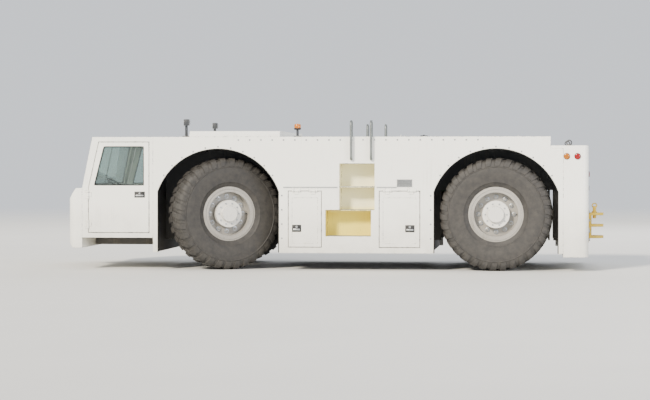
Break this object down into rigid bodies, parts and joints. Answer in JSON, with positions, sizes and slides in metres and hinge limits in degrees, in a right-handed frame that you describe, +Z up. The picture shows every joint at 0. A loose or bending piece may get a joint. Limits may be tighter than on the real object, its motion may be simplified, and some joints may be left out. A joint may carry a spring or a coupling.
{
  "type": "aircraft pushback tractor",
  "caption": "Low four-wheel-steered pushback tractor: full-width front cab, flat deck with engine hood, tail ballast block, side lockers and steps, tow jaws at both ends.",
  "frame": {"origin": "on the ground, midway between the ends of the two tow jaws, on the centre plane", "axes": "+X forward along the vehicle, +Y to the driver's left, +Z up"},
  "size_m": [7.8298, 3.3644, 2.1252],
  "materials": {
    "white_paint": "gloss enamel, weathered",
    "frame_paint": "satin chassis paint",
    "hitch_paint": "safety yellow, worn at the jaws",
    "step_paint": "safety yellow with grit",
    "rim_paint": "pale grey wheel enamel",
    "tyre_rubber": "matt, dusty",
    "bare_steel": "zinc plated",
    "cast_engine": "painted casting",
    "seat_vinyl": "black vinyl",
    "black_plastic": "moulded, grained",
    "lamp_glass": "clear lens over a reflector",
    "window_glass": "lightly tinted safety glass"
  },
  "bodies": {
    "root": {"frame_rails": "frame_paint", "bay_walls": "frame_paint", "cross_members": "frame_paint", "side_plate_left": "white_paint", "side_plate_right": "white_paint", "deck": "white_paint", "front_cover": "white_paint", "rear_block": "white_paint", "nose": "white_paint", "front_hitch": "hitch_paint", "rear_hitch": "hitch_paint", "cab_shell": "white_paint", "cab_glass": "window_glass", "dashboard": "black_plastic", "steering_wheel": "black_plastic", "seats": "seat_vinyl", "engine_block": "cast_engine", "radiator": "frame_paint", "front_axle": "frame_paint", "rear_axle": "frame_paint", "lockers": "white_paint", "step_boxes": "step_paint", "grab_rails": "bare_steel", "deck_posts": "frame_paint", "lamps": "lamp_glass"},
    "cab_door_left": {"cab_door_left": "white_paint", "door_glass_left": "window_glass"},
    "cab_door_right": {"cab_door_right": "white_paint", "door_glass_right": "window_glass"},
    "engine_hood": {"engine_hood": "white_paint"},
    "locker_door_left_front": {"locker_door_left_front": "white_paint"},
    "locker_door_left_rear": {"locker_door_left_rear": "white_paint"},
    "locker_door_right_front": {"locker_door_right_front": "white_paint"},
    "locker_door_right_rear": {"locker_door_right_rear": "white_paint"},
    "knuckle_front_left": {"knuckle_front_left": "frame_paint"},
    "wheel_front_left": {"rim_front_left": "rim_paint", "tyre_front_left": "tyre_rubber"},
    "knuckle_front_right": {"knuckle_front_right": "frame_paint"},
    "wheel_front_right": {"rim_front_right": "rim_paint", "tyre_front_right": "tyre_rubber"},
    "tie_rod_front": {"tie_rod_front": "bare_steel"},
    "knuckle_rear_left": {"knuckle_rear_left": "frame_paint"},
    "wheel_rear_left": {"rim_rear_left": "rim_paint", "tyre_rear_left": "tyre_rubber"},
    "knuckle_rear_right": {"knuckle_rear_right": "frame_paint"},
    "wheel_rear_right": {"rim_rear_right": "rim_paint", "tyre_rear_right": "tyre_rubber"},
    "tie_rod_rear": {"tie_rod_rear": "bare_steel"}
  },
  "joints": [
    {"name": "cab_door_left_swing", "type": "hinge", "parent": "root", "child": "cab_door_left", "pos_m": [3.374, 1.411, 0.8], "axis": [0, 0, -1], "range_deg": [0, 85]},
    {"name": "cab_door_right_swing", "type": "hinge", "parent": "root", "child": "cab_door_right", "pos_m": [3.374, -1.411, 0.8], "axis": [0, 0, 1], "range_deg": [0, 85]},
    {"name": "engine_hood_lift", "type": "hinge", "parent": "root", "child": "engine_hood", "pos_m": [-2.686, 0, 1.886], "axis": [0, -1, 0], "range_deg": [0, 65]},
    {"name": "locker_left_front_lift", "type": "hinge", "parent": "root", "child": "locker_door_left_front", "pos_m": [0.285, 1.411, 1.114], "axis": [1, 0, 0], "range_deg": [0, 100]},
    {"name": "locker_left_rear_lift", "type": "hinge", "parent": "root", "child": "locker_door_left_rear", "pos_m": [-1.045, 1.411, 1.114], "axis": [1, 0, 0], "range_deg": [0, 100]},
    {"name": "locker_right_front_lift", "type": "hinge", "parent": "root", "child": "locker_door_right_front", "pos_m": [0.285, -1.411, 1.114], "axis": [-1, 0, 0], "range_deg": [0, 100]},
    {"name": "locker_right_rear_lift", "type": "hinge", "parent": "root", "child": "locker_door_right_rear", "pos_m": [-1.045, -1.411, 1.114], "axis": [-1, 0, 0], "range_deg": [0, 100]},
    {"name": "steer_front_left", "type": "hinge", "parent": "root", "child": "knuckle_front_left", "pos_m": [1.515, 1.02, 0.79], "axis": [0, 0, 1], "range_deg": [-58, 2]},
    {"name": "steer_front_right", "type": "hinge", "parent": "root", "child": "knuckle_front_right", "pos_m": [1.515, -1.02, 0.79], "axis": [0, 0, 1], "range_deg": [-58, 2]},
    {"name": "tie_rod_front_swing", "type": "hinge", "parent": "knuckle_front_left", "child": "tie_rod_front", "pos_m": [1.69159, 1.11389, 0.79], "axis": [0, 0, 1], "range_deg": [-2, 58]},
    {"name": "roll_front_left", "type": "hinge", "parent": "knuckle_front_left", "child": "wheel_front_left", "pos_m": [1.45866, 1.12595, 0.79], "axis": [-0.4695, 0.8829, 0], "continuous": true},
    {"name": "roll_front_right", "type": "hinge", "parent": "knuckle_front_right", "child": "wheel_front_right", "pos_m": [1.57134, -1.12595, 0.79], "axis": [-0.4695, 0.8829, 0], "continuous": true},
    {"name": "steer_rear_left", "type": "hinge", "parent": "root", "child": "knuckle_rear_left", "pos_m": [-2.385, 1.02, 0.79], "axis": [0, 0, 1], "range_deg": [-30, 30]},
    {"name": "steer_rear_right", "type": "hinge", "parent": "root", "child": "knuckle_rear_right", "pos_m": [-2.385, -1.02, 0.79], "axis": [0, 0, 1], "range_deg": [-30, 30]},
    {"name": "tie_rod_rear_swing", "type": "hinge", "parent": "knuckle_rear_left", "child": "tie_rod_rear", "pos_m": [-2.585, 1.02, 0.79], "axis": [0, 0, 1], "range_deg": [-30, 30]},
    {"name": "roll_rear_left", "type": "hinge", "parent": "knuckle_rear_left", "child": "wheel_rear_left", "pos_m": [-2.385, 1.14, 0.79], "axis": [0, 1, 0], "continuous": true},
    {"name": "roll_rear_right", "type": "hinge", "parent": "knuckle_rear_right", "child": "wheel_rear_right", "pos_m": [-2.385, -1.14, 0.79], "axis": [0, 1, 0], "continuous": true}
  ],
  "couplings": [
    {"joint": "steer_front_right", "follows": "steer_front_left", "ratio": 1},
    {"joint": "tie_rod_front_swing", "follows": "steer_front_left", "ratio": -1},
    {"joint": "steer_rear_right", "follows": "steer_rear_left", "ratio": 1},
    {"joint": "tie_rod_rear_swing", "follows": "steer_rear_left", "ratio": -1}
  ]
}
